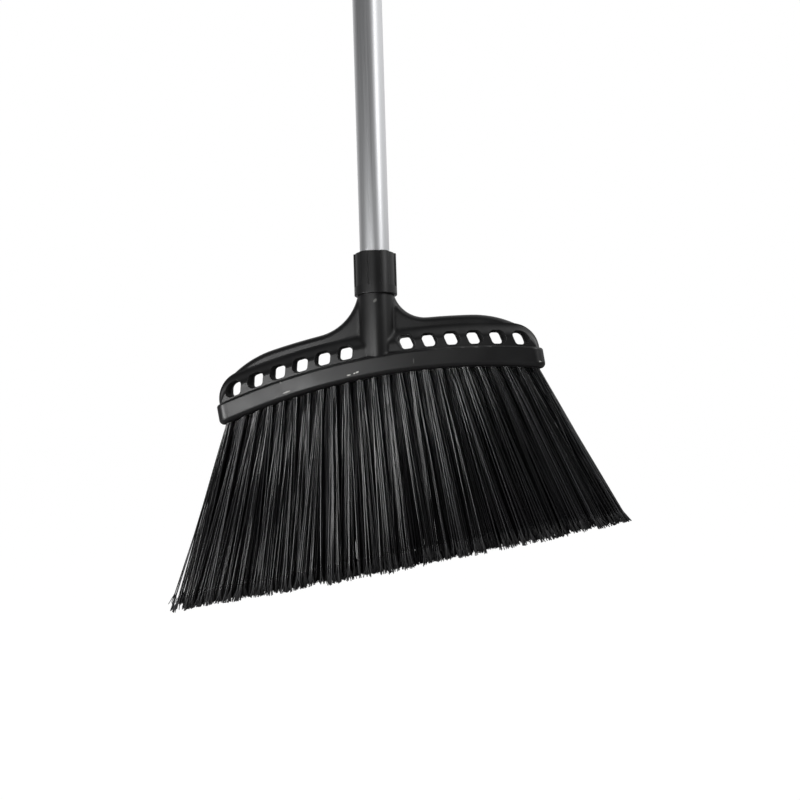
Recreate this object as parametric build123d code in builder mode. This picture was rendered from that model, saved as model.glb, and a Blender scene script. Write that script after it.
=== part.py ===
from build123d import *
import math
import os

# Angle broom: a tilted head with four rows of bristles, clamped on an aluminium tube by a screw collar.
# Millimetres. The origin is on the handle's axis at the tube's insertion line, just above the collar.
# +Z runs up the handle, and the front of the broom faces -Y, with +X to the right.

# Clearances
RUNNING_CLEARANCE = 0.08  # radial, where one piece slides or turns on another
SEAT_CLEARANCE = 0.05  # where a piece is pressed or moulded in
LOOSE_CLEARANCE = 0.3  # radial, where a piece only passes over another

# Handle tube, with a rolled line that shows how far it goes in
TUBE_DIAMETER = 25.4
TUBE_WALL = 1.2
TUBE_LENGTH = 1219.0
TUBE_INSERTION = 70.0
LINE_WIDTH = 0.8
LINE_DEPTH = 0.25

# Plugs in the tube's two ends
PLUG_LENGTH = 28.0
PLUG_LIP_STEP = 0.3  # how far a plug's lip lies inside the tube's outside
PLUG_BORE_DIAMETER = 14.0
FOOT_LIP = 2.0
CAP_LIP = 5.0
EYE_WIDTH = 20.0
EYE_RISE = 17.0  # from the lip to the hanging hole's centre
EYE_THICKNESS = 9.0
EYE_EDGE = 2.0
HANG_HOLE_DIAMETER = 10.0

# Screw collar
COLLAR_DIAMETER = 36.7
COLLAR_HEIGHT = 35.6
COLLAR_DROP = 2.0  # from the insertion line down to the collar's top
COLLAR_CROWN = 4.0  # thickness of its top
COLLAR_TOP_EDGE = 0.4
COLLAR_FOOT_EDGE = 0.8
FLUTES = 6
FLUTE_ANGLE = 36.0
FLUTE_DEPTH = 1.1
FLUTE_EDGE = 0.5
PLAIN_RING = 7.2  # unfluted height at its foot

# Split collet inside the collar
COLLET_HEAD = 6.0
COLLET_CONE = 9.0
COLLET_THICK_WALL = 2.1
COLLET_THIN_WALL = 0.7
COLLET_TAKE_UP = 1.0  # gap left under its head for tightening
COLLET_SPLIT = 2.0

# Neck and screw spigot of the head
NECK_DIAMETER = 31.5
SPIGOT_STEP = 0.05  # how far the screw spigot lies inside the neck's outside
NECK_SEAM = 0.6  # gap between collar and neck
NECK_CREASE = 1.0  # radius where the neck meets the head's faces
HEAD_DROP = 98.2  # from the insertion line down to the middle of the band
HEAD_TILT = 8.4  # the head's right end is raised by this many degrees

# Band along the foot of the head, arched upwards in the middle
BAND_LENGTH = 281.0
BAND_DEPTH = 32.0
BAND_HEIGHT = 17.5
ARCH_RADIUS = 550.0  # of the band's top edge
BAND_END_RADIUS = 11.0
BAND_LOWER_EDGE = 4.4
BAND_UPPER_EDGE = 2.2

# Thin blade from the neck to both ends, with a rounded top edge
BLADE_DEPTH = 12.0
BLADE_RISE = 27.4  # above the band's top edge
BLADE_EDGE = 4.4
BLADE_LEVEL_REACH = 86.0  # where its top edge starts to fall
BLADE_END_REACH = 131.5
BLADE_END_RISE = 15.0  # above the band's top edge at its end
LEFT_SHOULDER_RADIUS = 44.0
RIGHT_SHOULDER_RADIUS = 27.5
SHOULDER_RUN = 12.0  # how far the shoulders run on up inside the collar

# Flare that sweeps in an S from the blade out to the flat web that holds the windows
WEB_DEPTH = 26.0
WEB_RISE = 7.6  # above the band's top edge
WEB_END_RADIUS = 15.0
WEB_END_INSET = 6.0  # from the band's end
FLARE_RISE = 19.8
FLARE_END_RADIUS = 24.0
FLARE_END_INSET = 2.6
FLARE_SECTIONS = 6

# Windows through the web
WINDOWS_PER_SIDE = 6
WINDOW_START = 22.4  # from the middle of the head
WINDOW_SHIFT = 1.5  # the first ones stand this far to the right, with the leaning neck
WINDOW_END_WALL = 11.5  # from the last window to the band's end
WINDOW_RIB = 9.4
WINDOW_SILL = 2.7  # above the band's top edge
WINDOW_HEIGHT = 9.4
WINDOW_LEAN = 15.0  # their sides lean in towards the neck by this many degrees
WINDOW_DRAFT = 7.0  # they widen from the web's middle to its faces by this many degrees
WINDOW_CORNER = 2.6
WINDOW_END_CORNER = 6.0  # of the last window, beside the head's end

# Bristle field: staggered rows of tufts, each row on its own strip of the band's underside
ROWS = 4
ROW_PITCH = 5.8
TUFTS_PER_ROW = 24
FIELD_END_WALL = 4.7  # from the strips to the band's end
TUFT_MARGIN = 2.6  # from the last tuft's centre to the strip's end
STRIP_THICKNESS = 3.0
ROOT_DEPTH = 1.5  # how far the strands are sunk in the strip
STRAND_WIDTH = 1.2
STRAND_OFFSET = 1.4  # of a tuft's outer strands from its centre, at the root
TIP_SPLAY = 5.0  # of the same strands, at the tips, along the band
TIP_DEPTH_SPLAY = 3.0  # the same, from front to back
FAN_SPREAD = 1.4  # how much wider the tips stand than the roots, along the band
FAN_LEAN = -10.0  # how far the whole fan of tips stands off to the right, so here to the left
ROW_SPREAD = 1.7  # how much wider the tips stand than the roots, from front to back
TRIM_DROP = 169.0  # from the middle of the band down to the trimmed tips
TRIM_TILT = 1.05  # the tips rise to the right by this many degrees more than the band

# Flat wire anchors that hold the tufts
ANCHOR_LENGTH = 4.8
ANCHOR_THICKNESS = 0.6
ANCHOR_HEIGHT = 2.4

# Radii and levels that follow from the sizes
tube_radius = TUBE_DIAMETER / 2
tube_bore = tube_radius - TUBE_WALL
socket_radius = tube_radius + RUNNING_CLEARANCE
neck_radius = NECK_DIAMETER / 2
spigot_radius = neck_radius - SPIGOT_STEP
collar_radius = COLLAR_DIAMETER / 2
plug_radius = tube_bore - SEAT_CLEARANCE
lip_radius = tube_radius - PLUG_LIP_STEP
tube_foot = -TUBE_INSERTION
tube_top = tube_foot + TUBE_LENGTH
socket_floor = tube_foot - FOOT_LIP - SEAT_CLEARANCE
collar_top = -COLLAR_DROP
crown_under = collar_top - COLLAR_CROWN
collar_foot = collar_top - COLLAR_HEIGHT
neck_top = collar_foot - NECK_SEAM
collet_top = crown_under - SEAT_CLEARANCE
cone_top = collet_top - COLLET_HEAD
cone_foot = cone_top - COLLET_CONE
spigot_top = cone_top - COLLET_TAKE_UP
seat_foot = cone_foot - COLLET_TAKE_UP
cone_slope = (COLLET_THICK_WALL - COLLET_THIN_WALL) / COLLET_CONE

# Head plane: x along the head, y up across it and z out of its front
tilt = math.radians(HEAD_TILT)
HEAD_PLANE = Plane(
    origin=(0, 0, -HEAD_DROP),
    x_dir=(math.cos(tilt), 0, math.sin(tilt)),
    z_dir=(0, -1, 0),
)
arch_centre = BAND_HEIGHT / 2 - ARCH_RADIUS
field_half = BAND_LENGTH / 2 - FIELD_END_WALL
field_depth = ROWS * ROW_PITCH


def arch(reach, rise):
    """A point at this distance from the head's middle, this high above the band's arched top edge."""
    return (reach, math.sqrt((ARCH_RADIUS + rise) ** 2 - reach**2) + arch_centre)


def arch_slice(low, high, reach):
    """Draws the slice between two arches, cut off at both ends, in the open sketch."""
    with BuildLine() as outline:
        lower = ThreePointArc(arch(-reach, low), arch(0, low), arch(reach, low))
        upper = ThreePointArc(arch(-reach, high), arch(0, high), arch(reach, high))
        Line(lower @ 0, upper @ 0)
        Line(lower @ 1, upper @ 1)
    make_face(outline.edges())


def flare_outline(rise, inset, end_radius):
    """Draws one outline of the flare, from inside the band up to an arch with rounded ends."""
    reach = BAND_LENGTH / 2 - inset
    arch_slice(-BAND_HEIGHT / 2, rise, reach)
    corners = [Vector(*arch(side * reach, rise)) for side in (-1, 1)]
    fillet([vertices().sort_by_distance(corner)[0] for corner in corners], end_radius)


def flare_section(share):
    """Depth, rise, end inset and end radius of the flare, from 0 at the blade to 1 at the web."""
    depth_share = (1 - math.cos(math.pi * share)) / 2
    depth = (BLADE_DEPTH + (WEB_DEPTH - BLADE_DEPTH) * depth_share) / 2
    rise = FLARE_RISE + (WEB_RISE - FLARE_RISE) * share
    inset = FLARE_END_INSET + (WEB_END_INSET - FLARE_END_INSET) * share
    end_radius = FLARE_END_RADIUS + (WEB_END_RADIUS - FLARE_END_RADIUS) * share
    return depth, rise, inset, end_radius


def blade_outline():
    """Draws the blade: a level top edge that falls to each end, and the neck that it meets."""
    level = arch(BLADE_LEVEL_REACH, BLADE_RISE)
    end = arch(BLADE_END_REACH, BLADE_END_RISE)
    with BuildLine() as outline:
        top = ThreePointArc(arch(-BLADE_LEVEL_REACH, BLADE_RISE), arch(0, BLADE_RISE), level)
        right_fall = TangentArc(top @ 1, end, tangent=top % 1)
        left_fall = TangentArc(top @ 0, (-end[0], end[1]), tangent=-(top % 0))
        foot = Line(arch(-BLADE_END_REACH, -BAND_HEIGHT / 2), arch(BLADE_END_REACH, -BAND_HEIGHT / 2))
        Line(right_fall @ 1, foot @ 1)
        Line(left_fall @ 1, foot @ 0)
    make_face(outline.edges())
    # the neck as far out as the blade's faces reach into its round wall
    half_width = math.sqrt(neck_radius**2 - (BLADE_DEPTH / 2) ** 2) - SEAT_CLEARANCE
    axis = HEAD_PLANE.to_local_coords(Vector(0, 0, 1) + HEAD_PLANE.origin)
    across = Vector(axis.Y, -axis.X)
    head = axis * (neck_top + SHOULDER_RUN + HEAD_DROP)
    neck = [across * -half_width, across * half_width, head + across * half_width, head - across * half_width]
    with BuildLine() as neck_outline:
        Polyline(*[(point.X, point.Y) for point in neck], close=True)
    make_face(neck_outline.edges())
    for side, radius in ((-1, LEFT_SHOULDER_RADIUS), (1, RIGHT_SHOULDER_RADIUS)):
        corner = axis * (BAND_HEIGHT / 2 + BLADE_RISE) + across * side * half_width
        fillet(vertices().sort_by_distance(corner)[0], radius)


def tuft_angles(row):
    """Angles of a row's tufts about the arch's centre, from left to right. Every other row stands between."""
    pitch = 2 * (field_half - TUFT_MARGIN) / (TUFTS_PER_ROW - 1)
    shift = row % 2
    count = TUFTS_PER_ROW - shift
    first = -field_half + TUFT_MARGIN + shift * pitch / 2
    return [(first + index * pitch) / ARCH_RADIUS for index in range(count)]


def row_offset(row):
    """How far a row stands in front of the head's middle. Row 0 is at the front."""
    return (ROWS / 2 - 0.5 - row) * ROW_PITCH


def anchor_planes(row):
    """A plane at the top of the strip above each tuft, facing up along the tuft."""
    radius = ARCH_RADIUS - BAND_HEIGHT + STRIP_THICKNESS + SEAT_CLEARANCE
    planes = []
    for angle in tuft_angles(row):
        up = Vector(math.sin(angle), math.cos(angle))
        spot = up * radius + Vector(0, arch_centre, row_offset(row))
        planes.append(head_facing(spot, up))
    return planes


def head_facing(spot, direction):
    """A plane at a spot of the head's own frame, facing a direction in that frame."""
    origin = HEAD_PLANE.from_local_coords(spot)
    ahead = HEAD_PLANE.from_local_coords(spot + direction)
    return Plane(origin=origin, x_dir=HEAD_PLANE.x_dir, z_dir=ahead - origin)


def trim_height(reach):
    """Height of the trimmed tips at this distance from the head's middle."""
    return reach * math.tan(math.radians(TRIM_TILT)) - TRIM_DROP


def strand_planes(row):
    """A plane at the root of every strand of a row, facing down the strand."""
    radius = ARCH_RADIUS - BAND_HEIGHT + ROOT_DEPTH
    pattern = [(0, 0), (-1, -1), (-1, 1), (1, -1), (1, 1)]
    offset = row_offset(row)
    planes = []
    for angle in tuft_angles(row):
        for along, across in pattern:
            turn = angle + along * STRAND_OFFSET / ARCH_RADIUS
            depth = offset + across * STRAND_OFFSET
            root = Vector(radius * math.sin(turn), radius * math.cos(turn) + arch_centre, depth)
            reach = FAN_LEAN + FAN_SPREAD * angle * ARCH_RADIUS + along * TIP_SPLAY
            tip = Vector(reach, trim_height(reach), ROW_SPREAD * offset + across * TIP_DEPTH_SPLAY)
            planes.append(head_facing(root, tip - root))
    return planes


# Handle tube: drawn aluminium, with the insertion line rolled in its wall
with BuildPart() as handle_tube:
    with BuildSketch(Plane.XZ):
        with BuildLine():
            Polyline(
                (tube_bore, tube_foot),
                (tube_radius, tube_foot),
                (tube_radius, -LINE_WIDTH),
                (tube_radius - LINE_DEPTH, -LINE_WIDTH),
                (tube_radius - LINE_DEPTH, 0),
                (tube_radius, 0),
                (tube_radius, tube_top),
                (tube_bore, tube_top),
                close=True,
            )
        make_face()
    revolve(axis=Axis.Z)
handle_tube.part.label = "handle_tube"

# Foot plug: closes the tube's foot and stands on the socket's floor
with BuildPart() as foot_plug:
    with BuildSketch(Plane.XY.offset(tube_foot)):
        Circle(plug_radius)
    extrude(amount=PLUG_LENGTH)
    with BuildSketch(Plane.XY.offset(tube_foot)):
        Circle(lip_radius)
    extrude(amount=-FOOT_LIP)
    with BuildSketch(Plane.XY.offset(tube_foot + PLUG_LENGTH)):
        Circle(PLUG_BORE_DIAMETER / 2)
    extrude(amount=-PLUG_LENGTH, mode=Mode.SUBTRACT)
foot_plug.part.label = "foot_plug"

# Hanger cap: a plug in the tube's upper end with an eye to hang the broom by
with BuildPart() as hanger_cap:
    with BuildSketch(Plane.XZ):
        with Locations((0, tube_top + CAP_LIP + EYE_RISE)):
            Circle(EYE_WIDTH / 2)
        with Locations((0, tube_top + (CAP_LIP + EYE_RISE) / 2)):
            Rectangle(EYE_WIDTH, CAP_LIP + EYE_RISE)
    extrude(amount=EYE_THICKNESS / 2, both=True)
    eye_sides = faces().sort_by(Axis.Y)
    fillet(eye_sides[0].edges() + eye_sides[-1].edges(), EYE_EDGE)
    with BuildSketch(Plane.XY.offset(tube_top)):
        Circle(lip_radius)
    extrude(amount=CAP_LIP)
    with BuildSketch(Plane.XY.offset(tube_top)):
        Circle(plug_radius)
    extrude(amount=-PLUG_LENGTH)
    with BuildSketch(Plane.XZ):
        with Locations((0, tube_top + CAP_LIP + EYE_RISE)):
            Circle(HANG_HOLE_DIAMETER / 2)
    extrude(amount=EYE_THICKNESS, both=True, mode=Mode.SUBTRACT)
hanger_cap.part.label = "hanger_cap"

# Locking collar: a fluted nut whose crown presses the collet down
with BuildPart() as locking_collar:
    with BuildSketch(Plane.XY.offset(collar_foot)):
        Circle(collar_radius)
    extrude(amount=PLAIN_RING)
    fillet(faces().sort_by(Axis.Z)[0].edges(), COLLAR_FOOT_EDGE)
    with BuildSketch(Plane.XY.offset(collar_top)):
        Circle(collar_radius)
        half_flute = COLLAR_DIAMETER * math.tan(math.radians(FLUTE_ANGLE / 2))
        with PolarLocations(0, FLUTES, start_angle=-90):
            Polygon(
                (0, 0),
                (COLLAR_DIAMETER, -half_flute),
                (COLLAR_DIAMETER, half_flute),
                align=None,
                mode=Mode.SUBTRACT,
            )
        Circle(collar_radius - FLUTE_DEPTH)
        fillet(vertices(), FLUTE_EDGE)
    extrude(amount=-(COLLAR_HEIGHT - PLAIN_RING))
    fillet(faces().sort_by(Axis.Z)[-1].edges(), COLLAR_TOP_EDGE)
    with BuildSketch(Plane.XY.offset(collar_foot)):
        Circle(spigot_radius + RUNNING_CLEARANCE)
    extrude(amount=COLLAR_HEIGHT - COLLAR_CROWN, mode=Mode.SUBTRACT)
    with BuildSketch(Plane.XY.offset(collar_foot)):
        Circle(tube_radius + LOOSE_CLEARANCE)
    extrude(amount=COLLAR_HEIGHT, mode=Mode.SUBTRACT)
locking_collar.part.label = "locking_collar"

# Grip collet: a split ring with a cone that the collar pushes into the spigot's mouth
with BuildPart() as grip_collet:
    with BuildSketch(Plane.XZ):
        with BuildLine():
            Polyline(
                (socket_radius, collet_top),
                (spigot_radius - LOOSE_CLEARANCE, collet_top),
                (spigot_radius - LOOSE_CLEARANCE, cone_top),
                (socket_radius + COLLET_THICK_WALL, cone_top),
                (socket_radius + COLLET_THIN_WALL, cone_foot),
                (socket_radius, cone_foot),
                close=True,
            )
        make_face()
    revolve(axis=Axis.Z)
    with BuildSketch(Plane.XY.offset(collet_top)):
        with Locations((0, neck_radius / 2)):
            Rectangle(COLLET_SPLIT, neck_radius)
    extrude(amount=-(COLLET_HEAD + COLLET_CONE), mode=Mode.SUBTRACT)
grip_collet.part.label = "grip_collet"

# Tuft anchors: one flat wire across each tuft's root, a group of separate pieces for each row
anchor_groups = []
for row in range(ROWS):
    with BuildPart() as tuft_anchors:
        with BuildSketch(*anchor_planes(row)):
            Rectangle(ANCHOR_LENGTH, ANCHOR_THICKNESS)
        extrude(amount=ANCHOR_HEIGHT)
    tuft_anchors.part.label = f"tuft_anchors_{row + 1}"
    anchor_groups.append(tuft_anchors.part)

# Bristle rows: strands fused to their strip of the band's underside and trimmed by one plane
bristle_rows = []
trim_line = Vector(1, math.tan(math.radians(TRIM_TILT)))
trim_plane = head_facing(Vector(0, -TRIM_DROP), Vector(-trim_line.Y, trim_line.X))
for row in range(ROWS):
    with BuildPart() as bristle_row:
        with BuildSketch(HEAD_PLANE.offset(row_offset(row))):
            arch_slice(-BAND_HEIGHT, -BAND_HEIGHT + STRIP_THICKNESS, field_half)
        extrude(amount=ROW_PITCH / 2, both=True)
        with BuildSketch(*strand_planes(row)):
            Rectangle(STRAND_WIDTH, STRAND_WIDTH, rotation=45)
        extrude(amount=2 * TRIM_DROP, clean=False)
        split(bisect_by=trim_plane, keep=Keep.TOP)
    bristle_row.part.label = f"bristle_row_{row + 1}"
    bristle_rows.append(bristle_row.part)

# Band: an arched bar with rounded ends and a rounded lower edge
with BuildPart() as band:
    with BuildSketch(HEAD_PLANE):
        arch_slice(-BAND_HEIGHT, 0, BAND_LENGTH / 2)
    extrude(amount=BAND_DEPTH / 2, both=True)
    fillet(edges().filter_by(Axis((0, 0, 0), HEAD_PLANE.y_dir)), BAND_END_RADIUS)
    arches = faces().sort_by(SortBy.AREA)[-2:].sort_by(Axis((0, 0, 0), HEAD_PLANE.y_dir))
    fillet(arches[0].edges(), BAND_LOWER_EDGE)
    arches = faces().sort_by(SortBy.AREA)[-2:].sort_by(Axis((0, 0, 0), HEAD_PLANE.y_dir))
    fillet(arches[-1].edges(), BAND_UPPER_EDGE)

# Blade: the thin upper half of the head, rounded over along its top
with BuildPart() as blade:
    with BuildSketch(HEAD_PLANE):
        blade_outline()
    extrude(amount=BLADE_DEPTH / 2, both=True)
    sides = faces().sort_by(Axis.Y)
    rounds = (sides[0].edges() + sides[-1].edges()).filter_by(GeomType.CIRCLE)
    fillet(rounds, BLADE_EDGE)

# Head block: blade, flare and band in one moulding with the neck's screw spigot and the tube's socket
with BuildPart() as head_block:
    add(blade.part)
    for side in (-1, 1):
        for index in range(FLARE_SECTIONS):
            depth, rise, inset, end_radius = flare_section(index / (FLARE_SECTIONS - 1))
            with BuildSketch(HEAD_PLANE.offset(side * depth)):
                flare_outline(rise, inset, end_radius)
        loft()
    with BuildSketch(HEAD_PLANE):
        flare_outline(FLARE_RISE, FLARE_END_INSET, FLARE_END_RADIUS)
    extrude(amount=BLADE_DEPTH / 2, both=True)
    with BuildSketch(Plane.XZ):
        with BuildLine():
            Polyline(
                (0, -HEAD_DROP),
                (neck_radius, -HEAD_DROP),
                (neck_radius, neck_top),
                (spigot_radius, neck_top),
                (spigot_radius, spigot_top),
                (0, spigot_top),
                close=True,
            )
        make_face()
    revolve(axis=Axis.Z)
    round_walls = faces().filter_by(GeomType.CYLINDER)
    neck_wall = round_walls.filter_by(lambda face: face.radius == neck_radius)
    fillet(neck_wall.edges().filter_by(GeomType.CIRCLE, reverse=True), NECK_CREASE)
    with BuildSketch(HEAD_PLANE):
        lean = WINDOW_HEIGHT * math.tan(math.radians(WINDOW_LEAN))
        for side in (-1, 1):
            start = WINDOW_START + side * WINDOW_SHIFT
            pitch = (BAND_LENGTH / 2 - WINDOW_END_WALL - start + WINDOW_RIB) / WINDOWS_PER_SIDE
            for index in range(WINDOWS_PER_SIDE):
                near = start + index * pitch
                far = near + pitch - WINDOW_RIB
                top = WINDOW_SILL + WINDOW_HEIGHT
                corner = WINDOW_END_CORNER if index == WINDOWS_PER_SIDE - 1 else WINDOW_CORNER
                with BuildLine():
                    FilletPolyline(
                        arch(side * near, WINDOW_SILL),
                        arch(side * far, WINDOW_SILL),
                        arch(side * (far - lean), top),
                        arch(side * (near - lean), top),
                        radius=[WINDOW_CORNER, WINDOW_CORNER, corner, WINDOW_CORNER],
                        close=True,
                    )
                make_face()
    extrude(amount=WEB_DEPTH / 2, both=True, taper=-WINDOW_DRAFT, mode=Mode.SUBTRACT)
    add(band.part)
    with BuildSketch(Plane.XZ):
        seat_radius = socket_radius + COLLET_THIN_WALL + SEAT_CLEARANCE
        with BuildLine():
            Polyline(
                (0, spigot_top),
                (seat_radius + cone_slope * (spigot_top - cone_foot), spigot_top),
                (seat_radius - cone_slope * (cone_foot - seat_foot), seat_foot),
                (socket_radius, seat_foot),
                (socket_radius, socket_floor),
                (0, socket_floor),
                close=True,
            )
        make_face()
    revolve(axis=Axis.Z, mode=Mode.SUBTRACT)
    with BuildSketch(HEAD_PLANE):
        recess_top = -BAND_HEIGHT + STRIP_THICKNESS + SEAT_CLEARANCE
        arch_slice(-2 * BAND_HEIGHT, recess_top, field_half + SEAT_CLEARANCE)
    extrude(amount=field_depth / 2 + SEAT_CLEARANCE, both=True, mode=Mode.SUBTRACT)
    with BuildSketch(*[plane for row in range(ROWS) for plane in anchor_planes(row)]):
        Rectangle(ANCHOR_LENGTH + 2 * SEAT_CLEARANCE, ANCHOR_THICKNESS + 2 * SEAT_CLEARANCE)
    extrude(amount=ANCHOR_HEIGHT + SEAT_CLEARANCE, mode=Mode.SUBTRACT)
head_block.part.label = "head_block"

os.makedirs("parts", exist_ok=True)
single_pieces = [handle_tube, foot_plug, hanger_cap, locking_collar, grip_collet, head_block]
for piece in [single.part for single in single_pieces] + anchor_groups + bristle_rows:
    export_step(piece, f"parts/{piece.label}.step")
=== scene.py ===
import math
import random

import bpy
from mathutils import Matrix, Vector


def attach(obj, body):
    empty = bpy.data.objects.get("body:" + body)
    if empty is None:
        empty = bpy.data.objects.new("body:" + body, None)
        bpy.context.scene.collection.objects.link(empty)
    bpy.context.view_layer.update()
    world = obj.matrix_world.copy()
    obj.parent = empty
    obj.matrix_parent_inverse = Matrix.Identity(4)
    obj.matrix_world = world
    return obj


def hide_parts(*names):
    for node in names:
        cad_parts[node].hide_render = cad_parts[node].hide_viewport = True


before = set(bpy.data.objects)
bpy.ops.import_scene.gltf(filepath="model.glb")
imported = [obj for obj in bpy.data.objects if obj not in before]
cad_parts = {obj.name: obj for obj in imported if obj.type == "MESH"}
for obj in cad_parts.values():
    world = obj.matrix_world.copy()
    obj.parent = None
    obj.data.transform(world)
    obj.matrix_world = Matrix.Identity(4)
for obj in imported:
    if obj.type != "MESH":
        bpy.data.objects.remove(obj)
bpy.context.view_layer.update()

# The broom's sizes are in millimetres, and Blender's are in metres
MM = 0.001

# The head's own frame, as in the part's source: along the head, up across it and out of its front
HEAD_TILT = math.radians(8.4)
HEAD_DROP = 98.2
BAND_HEIGHT = 17.5
BAND_LENGTH = 281.0
ARCH_RADIUS = 550.0
ARCH_CENTRE = BAND_HEIGHT / 2 - ARCH_RADIUS

# Bristle rows, as in the part's source
ROWS = 4
ROW_PITCH = 5.8
TUFTS_PER_ROW = 24
FIELD_END_WALL = 4.7
FIELD_HALF = BAND_LENGTH / 2 - FIELD_END_WALL
TUFT_MARGIN = 2.6
STRIP_THICKNESS = 3.0
ROOT_DEPTH = 1.5
FAN_SPREAD = 1.4
FAN_LEAN = -10.0
ROW_SPREAD = 1.7
TRIM_DROP = 169.0
TRIM_TILT = math.radians(1.05)

# The strips that the rows stand in
STRIP_STEPS = 40
SMOOTH_ANGLE = math.radians(30)

# Filaments: the outer rows' are thick enough to tell apart, the inner rows' close the gaps behind them
OUTER_FILAMENTS = 18  # to a tuft
INNER_FILAMENTS = 72
FILAMENT_RADIUS = 0.45
OUTER_THICKNESS = 1.45  # as a share of that radius
INNER_THICKNESS = 1.0
THICKNESS_SCATTER = 0.15  # of one filament, as a share of its thickness
OUTER_ROOT_HALF_DEPTH = 2.7  # of a tuft, from front to back
INNER_ROOT_HALF_DEPTH = 1.5
ROOT_HALF_WIDTH = 2.9  # of a tuft, along the head
TIP_HALF_DEPTH = 2.0
OUTER_TIP_HALF_WIDTH = 8.4
INNER_TIP_HALF_WIDTH = 8.5
TIP_SCATTER = 1.8  # of one tip along the head
TUFT_TURN = 3.0  # of all the tips of a tuft along the head
TUFT_RAGGED = 0.35  # of a tuft's trimmed height
STRAY_SHARE = 0.05  # of the filaments, which leave their tuft
STRAY_REACH = 9.0
GOLDEN_ANGLE = math.radians(137.5)  # from one filament to the next around a tuft
FIRST_SEED = 40

# One filament
BENDS = (0, 0.1, 0.25, 0.45, 0.7)  # where it bends, as shares of its length
KINK_END = 0.5  # share of its length that has kinks
FILAMENT_KINK = 0.15
FILAMENT_SWAY = 0.5
FILAMENT_LEAN = 7.0  # of its tip to the front or the back
DEPTH_BOW = 0.9  # how much it stands upright at the root before it leans to the front or the back

# The field's ends: the last tufts stand further out, fray on the left and end in one line on the right
END_SHIFT = 3.6
END_SHIFT_POWER = 12
LEFT_FRAY = 2.0
LEFT_FRAY_POWER = 8
RIGHT_REACH = 187.0
RIGHT_SCATTER = 1.5

# The trimmed tips: their line bows down between its ends, and each filament is split
TRIM_BOW = 2.9
TRIM_BOW_MEAN = 0.4  # share of the bow that lies below the straight line
FLAGS = 4
FLAG_LENGTH = 9.0
FLAG_SPREAD = 1.6
FLAG_DEPTH_SPREAD = 0.8
FLAG_RAGGED = 0.25
FLAG_START = 0.9  # thickness of a split end, as a share of the filament's
FLAG_END = 0.6
CUT_END = 0.72  # faces that look up or down by more than this are cut ends, which stay flat
WORN_LENGTH = 14.0  # of the tip that sweeping has dulled

# Finishes: sizes of their patterns, and roughness at the smooth and at the dull end
NOISE_LOW = 0.3  # most of a noise pattern lies between these
NOISE_HIGH = 0.7
GRAIN_SIZE = 0.6
GRAIN_HEIGHT = 0.1
FLOW_SIZE = 25.0
PLASTIC_SMOOTH = 0.32
PLASTIC_DULL = 0.4
DRAW_LINE_WIDTH = 0.5
DRAW_LINE_LENGTH = 120.0
DRAW_LINE_HEIGHT = 0.05
TUBE_SMOOTH = 0.38
TUBE_DULL = 0.48
FILAMENT_SMOOTH = 0.05
FILAMENT_DULL = 0.25
WORN_ROUGHNESS = 0.65
# Shine of the outer rows' filaments, and the inner rows' lower shine, which paints shade into the gaps
# between the outer tufts
OUTER_SHINE = 0.5
INNER_PAINTED_SHADE_SHINE = 0.15

# Radii that the head's edges are rounded by for the eye, larger near the neck than the solids could be cut
EDGE_SOFTNESS = 0.4
NECK_SOFTNESS = 4.5
NECK_CENTRE = (0, 0, -62.0)
NECK_REACH = 36.0
NECK_FADE = 0.7  # share of the reach where the neck's finish starts to give way

# The windows' walls, duller than the faces: how far a wall, and a face, looks to the front or the back
WALL_FACING = 0.25
FACE_FACING = 0.5
WALL_ROUGHNESS = 0.85

# Pale marks on the head's front, partly scuffs and partly painted highlights on the band's lower edge and
# the neck: middle, half length, half height, rise in degrees and strength
SCUFFS_AND_PAINTED_HIGHLIGHTS = (
    ((-24.1, -16.0, -105.5), 2.2, 0.8, 12, 0.9),
    ((-19.4, -16.0, -104.2), 1.3, 0.7, 25, 0.9),
    ((-17.0, -16.0, -103.3), 1.8, 0.9, 25, 0.9),
    ((-76.4, -16.0, -118.1), 4.2, 0.8, 19, 0.8),
    ((-81.2, -16.0, -109.9), 1.0, 1.0, 0, 0.25),
    ((136.7, -16.0, -98.9), 2.4, 0.9, -8, 1.0),
    ((30.3, -16.0, -95.3), 0.6, 3.0, 0, 0.12),
    ((-0.4, -15.8, -43.9), 2.6, 1.5, 45, 0.2),
)
# Spread, edges and roughness of the pale marks, each partly a scuff and partly a painted highlight
SCUFF_AND_HIGHLIGHT_DEPTH = 3.0
SCUFF_AND_HIGHLIGHT_EDGE = 0.1  # how far in from its rim a pale mark starts to show
SCUFF_AND_HIGHLIGHT_CORE = 0.5  # how far in it shows in full
SCUFF_AND_HIGHLIGHT_ROUGHNESS = 0.65

# Floor, in metres: paper that glows white to the camera, and is dark near the broom to what reflects it
FLOOR_SIZE = 12.0
FLOOR_LEVEL = -0.45
PAPER_GLOW = 1.06
PAPER_SEEN = 0.94  # share of the glow in what the camera sees, the rest takes shadows
PAPER_SHADE = 0.22  # share of the glow that is reflected near the broom
SHADE_END = 2.0  # how far behind the broom that shade starts to lift
LIGHT_START = 5.0  # how far behind it the paper is lit in full

# Sky: to what reflects it, white on its lit side and dim elsewhere
LIT_WAY = (0.62, 0.79, 0)  # towards the lit side, behind the broom
LIT_FROM = -0.5  # how far a direction goes that way where the lit side starts
LIT_FULL = 0.3  # and where it is full
RISE_FROM = 0.1  # the same for how far a direction rises
RISE_FULL = 0.22
DIM_FRONT = 0.1
DIM_BEHIND = 0.03

# Lamps, in metres, degrees and watts: what they face, and from how far
HEAD_AIM = (0, 0, -0.12)
TUBE_AIM = (0, 0, 0.15)
HEAD_DISTANCE = 1.2
TUBE_DISTANCE = 1.396

# Camera: beside the head, level, and rolled a little as the photo was held
CAMERA_PLACE = (18.0, -534.65, -127.5)
CAMERA_ROLL = math.radians(1.72)
LENS = 28.0
SENSOR_WIDTH = 36.0


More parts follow.
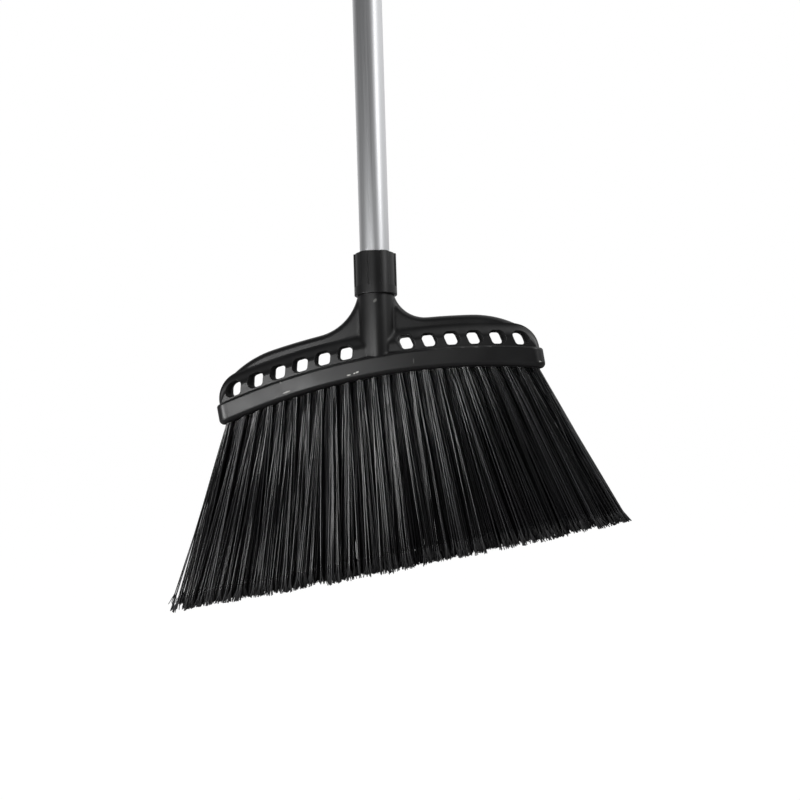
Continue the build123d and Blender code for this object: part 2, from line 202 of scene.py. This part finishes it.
def head_point(along, up, front):
    """A point of the head's own frame, in millimetres, as a point of the row frame in metres."""
    across = along * math.cos(HEAD_TILT) - up * math.sin(HEAD_TILT)
    height = along * math.sin(HEAD_TILT) + up * math.cos(HEAD_TILT) - HEAD_DROP
    return Vector((across, -front, height)) * MM


def row_offset(row):
    """How far a row stands in front of the head's middle."""
    return (ROWS / 2 - 0.5 - row) * ROW_PITCH


def is_inner(row):
    """Whether a row has other rows on both sides."""
    return 0 < row < ROWS - 1


def tuft_reaches(row):
    """Distances of a row's tufts from the head's middle along the arch, every other row between."""
    pitch = 2 * (FIELD_HALF - TUFT_MARGIN) / (TUFTS_PER_ROW - 1)
    shift = row % 2
    first = -FIELD_HALF + TUFT_MARGIN + shift * pitch / 2
    return [first + index * pitch for index in range(TUFTS_PER_ROW - shift)]


def trim_height(reach):
    """Height of the trimmed tips at this distance from the head's middle, where their line bows down."""
    bow = TRIM_BOW * ((reach / RIGHT_REACH) ** 2 - TRIM_BOW_MEAN)
    return reach * math.tan(TRIM_TILT) - TRIM_DROP + bow


def add_strand(curve, points, radii):
    """Adds one strand to a curve, with its own thickness at each point."""
    strand = curve.splines.new("POLY")
    strand.points.add(len(points) - 1)
    for target, point, radius in zip(strand.points, points, radii):
        target.co = (*point, 1)
        target.radius = radius


def add_filament(curve, root, tip, bow, thickness, chance):
    """Adds one filament from root to tip in the head's frame, a little crooked, with a split tip."""
    split = 1 - FLAG_LENGTH / (tip - root).length
    thickness *= chance.uniform(1 - THICKNESS_SCATTER, 1 + THICKNESS_SCATTER)
    sway = Vector((chance.gauss(0, FILAMENT_SWAY), 0, chance.gauss(0, FILAMENT_SWAY)))
    points = []
    for step in (*BENDS, split):
        point = root.lerp(tip, step) + sway * math.sin(math.pi * step)
        point.z -= bow * (step - step ** 3)
        if 0 < step < KINK_END:
            point.x += chance.gauss(0, FILAMENT_KINK)
            point.z += chance.gauss(0, FILAMENT_KINK)
        points.append(point)
    add_strand(curve, [head_point(*point) for point in points], [thickness] * len(points))
    for _ in range(FLAGS):
        spread = Vector((
            chance.gauss(0, FLAG_SPREAD),
            chance.gauss(0, FLAG_RAGGED),
            chance.gauss(0, FLAG_DEPTH_SPREAD),
        ))
        flag_points = [head_point(*points[-1]), head_point(*(tip + spread))]
        add_strand(curve, flag_points, [thickness * FLAG_START, thickness * FLAG_END])


def bristle_row(row):
    """Models one row of tufts as filaments."""
    chance = random.Random(FIRST_SEED + row)
    curve = bpy.data.curves.new(f"bristle_filaments_{row + 1}", "CURVE")
    curve.dimensions = "3D"
    curve.bevel_depth = FILAMENT_RADIUS * MM
    curve.bevel_resolution = 0
    curve.use_fill_caps = True
    offset = row_offset(row)
    radius = ARCH_RADIUS - BAND_HEIGHT + ROOT_DEPTH
    inner = is_inner(row)
    filaments = INNER_FILAMENTS if inner else OUTER_FILAMENTS
    thickness = INNER_THICKNESS if inner else OUTER_THICKNESS
    root_half_depth = INNER_ROOT_HALF_DEPTH if inner else OUTER_ROOT_HALF_DEPTH
    tip_half_width = INNER_TIP_HALF_WIDTH if inner else OUTER_TIP_HALF_WIDTH
    for tuft in tuft_reaches(row):
        share = tuft / FIELD_HALF
        scatter = TIP_SCATTER + LEFT_FRAY * max(0, -share) ** LEFT_FRAY_POWER
        shift = math.copysign(END_SHIFT * abs(share) ** END_SHIFT_POWER, share)
        ragged = chance.gauss(0, TUFT_RAGGED)
        turned = chance.gauss(0, TUFT_TURN)
        middle = FAN_LEAN + FAN_SPREAD * (tuft + max(0, shift)) + turned
        for index in range(filaments):
            spot = math.sqrt((index + 0.5) / filaments)
            turn = index * GOLDEN_ANGLE + row + tuft
            along = spot * math.cos(turn)
            across = spot * math.sin(turn)
            angle = (tuft + shift + along * ROOT_HALF_WIDTH) / ARCH_RADIUS
            root = Vector((
                radius * math.sin(angle),
                radius * math.cos(angle) + ARCH_CENTRE,
                offset + across * root_half_depth,
            ))
            reach = middle + along * tip_half_width + chance.gauss(0, scatter)
            if chance.random() < STRAY_SHARE:
                reach += chance.uniform(-STRAY_REACH, STRAY_REACH)
            reach = min(reach, RIGHT_REACH - abs(chance.gauss(0, RIGHT_SCATTER)))
            depth = ROW_SPREAD * offset + across * TIP_HALF_DEPTH
            bow = DEPTH_BOW * (depth - root.z)
            depth += chance.uniform(-FILAMENT_LEAN, FILAMENT_LEAN)
            tip = Vector((reach, trim_height(reach) + ragged, depth))
            add_filament(curve, root, tip, bow, thickness, chance)
    piece = bpy.data.objects.new(f"bristle_filaments_{row + 1}", curve)
    bpy.context.scene.collection.objects.link(piece)
    bpy.ops.object.select_all(action="DESELECT")
    piece.select_set(True)
    bpy.context.view_layer.objects.active = piece
    bpy.ops.object.convert(target="MESH")
    piece = bpy.context.view_layer.objects.active
    for face in piece.data.polygons:
        face.use_smooth = abs(face.normal.z) < CUT_END
    return piece


def root_strip(row):
    """Models the moulded strip that a row's tufts stand in: one section, spun along the arch."""
    offset = row_offset(row)
    sweep = FIELD_HALF / ARCH_RADIUS
    radius = ARCH_RADIUS - BAND_HEIGHT + STRIP_THICKNESS / 2
    place = head_point(-radius * math.sin(sweep), radius * math.cos(sweep) + ARCH_CENTRE, offset)
    bpy.ops.object.select_all(action="DESELECT")
    lean = math.pi / 2 - HEAD_TILT - sweep
    bpy.ops.mesh.primitive_plane_add(size=MM, location=place, rotation=(0, lean, 0))
    piece = bpy.context.active_object
    piece.name = f"bristle_strip_{row + 1}"
    piece.scale = (STRIP_THICKNESS, ROW_PITCH, 1)
    bpy.ops.object.transform_apply(location=True, rotation=True, scale=True)
    bpy.ops.object.mode_set(mode="EDIT")
    bpy.ops.mesh.select_all(action="SELECT")
    bpy.ops.mesh.spin(
        steps=STRIP_STEPS, angle=2 * sweep, center=head_point(0, ARCH_CENTRE, offset), axis=(0, -1, 0)
    )
    bpy.ops.mesh.select_all(action="SELECT")
    bpy.ops.mesh.normals_make_consistent(inside=False)
    bpy.ops.object.mode_set(mode="OBJECT")
    bpy.ops.object.shade_smooth_by_angle(angle=SMOOTH_ANGLE)
    return piece


def linear(colour):
    """An sRGB hex colour as the linear numbers that a shader reads."""
    channels = [int(colour[place:place + 2], 16) / 255 for place in (1, 3, 5)]
    return [c / 12.92 if c <= 0.04045 else ((c + 0.055) / 1.055) ** 2.4 for c in channels] + [1]


def node(tree, kind, inputs=None, **settings):
    """Adds a node, with its settings, and fills its inputs with values or links."""
    made = tree.nodes.new(kind)
    for name, value in settings.items():
        setattr(made, name, value)
    for name, value in (inputs or {}).items():
        if isinstance(value, bpy.types.NodeSocket):
            tree.links.new(value, made.inputs[name])
        else:
            made.inputs[name].default_value = value
    return made


def start_material(name):
    """Starts an empty material, and returns it with its nodes."""
    material = bpy.data.materials.new(name)
    material.use_nodes = True
    material.node_tree.nodes.clear()
    return material, material.node_tree


def moulded_polypropylene(name, neck_zone=None, scuffs_and_highlights=()):
    """Black polypropylene from a spark-eroded mould: a soft sheen with a fine grain, pale where scuffed and
    where highlights are painted.

    With a neck_zone, a centre and a reach, it is the head's: inside the zone the moulding's hollow corners
    look as round as they are, and outside it the walls that look to neither front nor back are dull.
    """
    material, tree = start_material(name)
    coordinates = node(tree, "ShaderNodeTexCoord")
    place = coordinates.outputs["Object"]
    grain = node(
        tree, "ShaderNodeTexNoise", {"Vector": place, "Scale": 1 / (GRAIN_SIZE * MM), "Detail": 3.0}
    )
    flow = node(
        tree, "ShaderNodeTexNoise", {"Vector": place, "Scale": 1 / (FLOW_SIZE * MM), "Detail": 4.0}
    )
    rough = node(tree, "ShaderNodeMapRange", {
        "Value": flow.outputs["Fac"],
        "From Min": NOISE_LOW,
        "From Max": NOISE_HIGH,
        "To Min": PLASTIC_SMOOTH,
        "To Max": PLASTIC_DULL,
    }).outputs["Result"]
    colour = node(tree, "ShaderNodeMix", {
        "Factor": flow.outputs["Fac"],
        "A": linear("#0b0b0c"),
        "B": linear("#101011"),
    }, data_type="RGBA").outputs["Result"]
    # Each pale mark is partly a scuff and partly a painted highlight, paler and rougher than the plastic
    # around it
    for middle, length, height, rise, strength in scuffs_and_highlights:
        spot = node(tree, "ShaderNodeMapping", {
            "Vector": place,
            "Location": Vector(middle) * MM,
            "Rotation": (0, -math.radians(rise), 0),
            "Scale": Vector((length, SCUFF_AND_HIGHLIGHT_DEPTH, height)) * MM,
        }, vector_type="TEXTURE")
        mark = node(
            tree, "ShaderNodeTexGradient", {"Vector": spot.outputs["Vector"]}, gradient_type="SPHERICAL"
        )
        worn = node(tree, "ShaderNodeMapRange", {
            "Value": mark.outputs["Fac"],
            "From Min": SCUFF_AND_HIGHLIGHT_EDGE,
            "From Max": SCUFF_AND_HIGHLIGHT_CORE,
            "To Max": strength,
        }).outputs["Result"]
        colour = node(tree, "ShaderNodeMix", {
            "Factor": worn,
            "A": colour,
            "B": linear("#cfcfca"),
        }, data_type="RGBA").outputs["Result"]
        rough = node(
            tree, "ShaderNodeMix", {"Factor": worn, "A": rough, "B": SCUFF_AND_HIGHLIGHT_ROUGHNESS}
        ).outputs["Result"]
    relief = {"Height": grain.outputs["Fac"], "Strength": 0.12, "Distance": GRAIN_HEIGHT * MM}
    if neck_zone:
        centre, reach = neck_zone
        off = node(tree, "ShaderNodeVectorMath", {0: place, 1: Vector(centre) * MM}, operation="DISTANCE")
        outside = node(tree, "ShaderNodeMapRange", {
            "Value": off.outputs["Value"],
            "From Min": NECK_FADE * reach * MM,
            "From Max": reach * MM,
        }).outputs["Result"]
        soft = node(tree, "ShaderNodeMapRange", {
            "Value": outside,
            "To Min": NECK_SOFTNESS * MM,
            "To Max": EDGE_SOFTNESS * MM,
        })
        rounded = node(tree, "ShaderNodeBevel", {"Radius": soft.outputs["Result"]}, samples=8)
        relief["Normal"] = rounded.outputs["Normal"]
        front = node(tree, "ShaderNodeSeparateXYZ", {"Vector": coordinates.outputs["Normal"]}).outputs["Y"]
        facing = node(tree, "ShaderNodeMath", {0: front}, operation="ABSOLUTE")
        wall = node(tree, "ShaderNodeMapRange", {
            "Value": facing.outputs["Value"],
            "From Min": WALL_FACING,
            "From Max": FACE_FACING,
            "To Min": outside,
            "To Max": 0.0,
        })
        rough = node(
            tree, "ShaderNodeMix", {"Factor": wall.outputs["Result"], "A": rough, "B": WALL_ROUGHNESS}
        ).outputs["Result"]
    bump = node(tree, "ShaderNodeBump", relief)
    shader = node(tree, "ShaderNodeBsdfPrincipled", {
        "Base Color": colour,
        "Roughness": rough,
        "IOR": 1.49,
        "Normal": bump.outputs["Normal"],
    })
    node(tree, "ShaderNodeOutputMaterial", {"Surface": shader.outputs["BSDF"]})
    return material


def drawn_aluminium():
    """Drawn aluminium tube, left satin: fine lines along its length smear the light into long streaks."""
    material, tree = start_material("drawn_aluminium_satin")
    place = node(tree, "ShaderNodeTexCoord").outputs["Object"]
    across = 1 / (DRAW_LINE_WIDTH * MM)
    stretched = node(
        tree, "ShaderNodeMapping", {"Vector": place, "Scale": (across, across, 1 / (DRAW_LINE_LENGTH * MM))}
    )
    lines = node(
        tree, "ShaderNodeTexNoise", {"Vector": stretched.outputs["Vector"], "Scale": 1.0, "Detail": 4.0}
    )
    rough = node(tree, "ShaderNodeMapRange", {
        "Value": lines.outputs["Fac"],
        "From Min": NOISE_LOW,
        "From Max": NOISE_HIGH,
        "To Min": TUBE_SMOOTH,
        "To Max": TUBE_DULL,
    })
    bump = node(
        tree, "ShaderNodeBump",
        {"Height": lines.outputs["Fac"], "Strength": 0.1, "Distance": DRAW_LINE_HEIGHT * MM},
    )
    shader = node(tree, "ShaderNodeBsdfPrincipled", {
        "Base Color": linear("#d4d5d7"),
        "Metallic": 1.0,
        "Roughness": rough.outputs["Result"],
        "Normal": bump.outputs["Normal"],
    })
    node(tree, "ShaderNodeOutputMaterial", {"Surface": shader.outputs["BSDF"]})
    return material


def extruded_filament(name, shine):
    """Black filament from a spinneret: no two alike in grey and gloss, so each draws its own thin line.

    Near the line of the trimmed tips it is worn dull.
    """
    material, tree = start_material(name)
    strand = node(tree, "ShaderNodeNewGeometry").outputs["Random Per Island"]
    place = node(tree, "ShaderNodeTexCoord").outputs["Object"]
    upright = head_point(-math.sin(TRIM_TILT), math.cos(TRIM_TILT), 0) - head_point(0, 0, 0)
    upright.normalize()
    level = upright.dot(head_point(0, -TRIM_DROP, 0))
    height = node(tree, "ShaderNodeVectorMath", {0: place, 1: upright}, operation="DOT_PRODUCT")
    worn = node(tree, "ShaderNodeMapRange", {
        "Value": height.outputs["Value"],
        "From Min": level + WORN_LENGTH / 2 * MM,
        "From Max": level + WORN_LENGTH * MM,
        "To Min": 1.0,
        "To Max": 0.0,
    })
    smooth = node(
        tree, "ShaderNodeMapRange", {"Value": strand, "To Min": FILAMENT_SMOOTH, "To Max": FILAMENT_DULL}
    )
    rough = node(tree, "ShaderNodeMix", {
        "Factor": worn.outputs["Result"],
        "A": smooth.outputs["Result"],
        "B": WORN_ROUGHNESS,
    })
    colour = node(tree, "ShaderNodeMix", {
        "Factor": strand,
        "A": linear("#050506"),
        "B": linear("#28282a"),
    }, data_type="RGBA")
    shader = node(tree, "ShaderNodeBsdfPrincipled", {
        "Base Color": colour.outputs["Result"],
        "Roughness": rough.outputs["Result"],
        "IOR": 1.5,
        "Specular IOR Level": shine,
    })
    node(tree, "ShaderNodeOutputMaterial", {"Surface": shader.outputs["BSDF"]})
    return material


def cloudy_finish(name, cloud_size, smooth, dull, surface):
    """A plain surface whose gloss changes in soft cloudy patches, between two values of roughness."""
    material, tree = start_material(name)
    place = node(tree, "ShaderNodeTexCoord").outputs["Object"]
    cloud = node(
        tree, "ShaderNodeTexNoise", {"Vector": place, "Scale": 1 / (cloud_size * MM), "Detail": 3.0}
    )
    rough = node(
        tree, "ShaderNodeMapRange", {"Value": cloud.outputs["Fac"], "To Min": smooth, "To Max": dull}
    )
    shader = node(tree, "ShaderNodeBsdfPrincipled", {"Roughness": rough.outputs["Result"], **surface})
    node(tree, "ShaderNodeOutputMaterial", {"Surface": shader.outputs["BSDF"]})
    return material


def dress(piece, material):
    """Gives a piece one material all over."""
    piece.data.materials.clear()
    piece.data.materials.append(material)


def softbox(name, aim, distance, azimuth, elevation, width, height, power):
    """Adds a soft rectangular lamp that faces a point from these degrees right of its front and above it."""
    turn = math.radians(azimuth)
    rise = math.radians(elevation)
    way = Vector((math.sin(turn) * math.cos(rise), -math.cos(turn) * math.cos(rise), math.sin(rise)))
    lamp = bpy.data.lights.new(name, "AREA")
    lamp.shape = "RECTANGLE"
    lamp.size = width
    lamp.size_y = height
    lamp.energy = power
    box = bpy.data.objects.new(name, lamp)
    box.location = Vector(aim) + way * distance
    box.rotation_euler = way.to_track_quat("Z", "Y").to_euler()
    bpy.context.scene.collection.objects.link(box)


# Finishes on the nodes that keep their own shape
black_plastic = moulded_polypropylene("moulded_polypropylene_black")
head_plastic = moulded_polypropylene(
    "moulded_polypropylene_head", neck_zone=(NECK_CENTRE, NECK_REACH), scuffs_and_highlights=SCUFFS_AND_PAINTED_HIGHLIGHTS
)
# Nylon from a polished mould, left milky
nylon = cloudy_finish(
    "moulded_nylon_natural", cloud_size=6.0, smooth=0.35, dull=0.5,
    surface={"Base Color": linear("#d9d3c5"), "IOR": 1.53},
)
# Flat wire with a hot zinc coat
wire = cloudy_finish(
    "galvanised_wire", cloud_size=1.5, smooth=0.35, dull=0.55,
    surface={"Base Color": linear("#b4b6b8"), "Metallic": 1.0},
)
dress(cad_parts["head_block"], head_plastic)
for name in ("locking_collar", "hanger_cap", "foot_plug"):
    dress(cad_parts[name], black_plastic)
dress(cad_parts["handle_tube"], drawn_aluminium())
dress(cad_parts["grip_collet"], nylon)
for row in range(ROWS):
    dress(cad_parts[f"tuft_anchors_{row + 1}"], wire)

# Bristles: the inner rows shine less, as painted shade, so that they stay dark behind the outer ones
outer_filament = extruded_filament("extruded_filament_black", OUTER_SHINE)
inner_filament_painted_shade = extruded_filament("extruded_filament_painted_shade", INNER_PAINTED_SHADE_SHINE)
for row in range(ROWS):
    piece = bristle_row(row)
    dress(piece, inner_filament_painted_shade if is_inner(row) else outer_filament)
    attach(piece, "head")
    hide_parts(f"bristle_row_{row + 1}")
    strip = root_strip(row)
    dress(strip, black_plastic)
    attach(strip, "head")
    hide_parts(f"bristle_row_{row + 1}")

# Floor: the camera and what reflects it see its glow, everything else sees plain paper
bpy.ops.mesh.primitive_plane_add(size=FLOOR_SIZE, location=(0, 0, FLOOR_LEVEL))
floor = bpy.context.active_object
floor.name = "floor"
material, tree = start_material("white_paper")
path = node(tree, "ShaderNodeLightPath")
camera_ray = path.outputs["Is Camera Ray"]
place = node(tree, "ShaderNodeTexCoord").outputs["Object"]
back = node(tree, "ShaderNodeSeparateXYZ", {"Vector": place}).outputs["Y"]
lit = node(
    tree, "ShaderNodeMapRange",
    {"Value": back, "From Min": SHADE_END, "From Max": LIGHT_START, "To Min": PAPER_SHADE},
)
seen = node(tree, "ShaderNodeMath", {0: camera_ray, 1: PAPER_SEEN}, operation="MULTIPLY")
share = node(
    tree, "ShaderNodeMath",
    {0: seen.outputs["Value"], 1: path.outputs["Is Glossy Ray"]}, operation="MAXIMUM",
)
bright = node(tree, "ShaderNodeMath", {0: camera_ray, 1: lit.outputs["Result"]}, operation="MAXIMUM")
level = node(tree, "ShaderNodeMath", {0: bright.outputs["Value"], 1: PAPER_GLOW}, operation="MULTIPLY")
paper = node(tree, "ShaderNodeBsdfDiffuse", {"Color": linear("#e6e6e6")})
glow = node(tree, "ShaderNodeEmission", {"Color": linear("#ffffff"), "Strength": level.outputs["Value"]})
mixed = node(
    tree, "ShaderNodeMixShader",
    {0: share.outputs["Value"], 1: paper.outputs["BSDF"], 2: glow.outputs["Emission"]},
)
node(tree, "ShaderNodeOutputMaterial", {"Surface": mixed.outputs["Shader"]})
dress(floor, material)

# World: white to the camera, and to what reflects its lit side
world = bpy.data.worlds.new("studio")
bpy.context.scene.world = world
world.use_nodes = True
tree = world.node_tree
tree.nodes.clear()
path = node(tree, "ShaderNodeLightPath")
way = node(tree, "ShaderNodeTexCoord").outputs["Generated"]
aside = node(tree, "ShaderNodeVectorMath", {0: way, 1: LIT_WAY}, operation="DOT_PRODUCT")
behind = node(
    tree, "ShaderNodeMapRange",
    {"Value": aside.outputs["Value"], "From Min": LIT_FROM, "From Max": LIT_FULL},
).outputs["Result"]
height = node(tree, "ShaderNodeSeparateXYZ", {"Vector": way}).outputs["Z"]
above = node(
    tree, "ShaderNodeMapRange", {"Value": height, "From Min": RISE_FROM, "From Max": RISE_FULL}
).outputs["Result"]
lit = node(tree, "ShaderNodeMath", {0: behind, 1: above}, operation="MULTIPLY")
mirrored = node(
    tree, "ShaderNodeMath",
    {0: path.outputs["Is Glossy Ray"], 1: lit.outputs["Value"]}, operation="MULTIPLY",
)
share = node(
    tree, "ShaderNodeMath",
    {0: path.outputs["Is Camera Ray"], 1: mirrored.outputs["Value"]}, operation="MAXIMUM",
)
dim = node(tree, "ShaderNodeMapRange", {"Value": behind, "To Min": DIM_FRONT, "To Max": DIM_BEHIND})
strength = node(
    tree, "ShaderNodeMix", {"Factor": share.outputs["Value"], "A": dim.outputs["Result"], "B": 1.0}
)
sky = node(
    tree, "ShaderNodeBackground", {"Color": linear("#ffffff"), "Strength": strength.outputs["Result"]}
)
node(tree, "ShaderNodeOutputWorld", {"Surface": sky.outputs["Background"]})

# Lamps: a key left of the camera, a fill further round, a low one for the bristles' lower half,
# and a tall strip on the right for the tube
softbox(
    "key_softbox", HEAD_AIM, HEAD_DISTANCE,
    azimuth=-14.5, elevation=-1.2, width=0.26, height=0.08, power=3.1,
)
softbox(
    "fill_softbox", HEAD_AIM, HEAD_DISTANCE,
    azimuth=-35, elevation=1, width=0.25, height=0.1, power=1.7,
)
softbox(
    "low_softbox", HEAD_AIM, HEAD_DISTANCE,
    azimuth=-57, elevation=-9, width=0.4, height=0.2, power=6.0,
)
softbox(
    "side_strip", TUBE_AIM, TUBE_DISTANCE,
    azimuth=56, elevation=21, width=0.2, height=0.9, power=3.7,
)

# Camera
camera = bpy.data.cameras.new("camera")
camera.lens = LENS
camera.sensor_width = SENSOR_WIDTH
view = bpy.data.objects.new("camera", camera)
right = Vector((math.cos(CAMERA_ROLL), 0, -math.sin(CAMERA_ROLL)))
up = Vector((math.sin(CAMERA_ROLL), 0, math.cos(CAMERA_ROLL)))
turn = Matrix((right, up, right.cross(up))).transposed()
view.matrix_world = Matrix.Translation(Vector(CAMERA_PLACE) * MM) @ turn.to_4x4()
bpy.context.scene.collection.objects.link(view)
bpy.context.scene.camera = view
bpy.context.scene.view_settings.view_transform = "Standard"
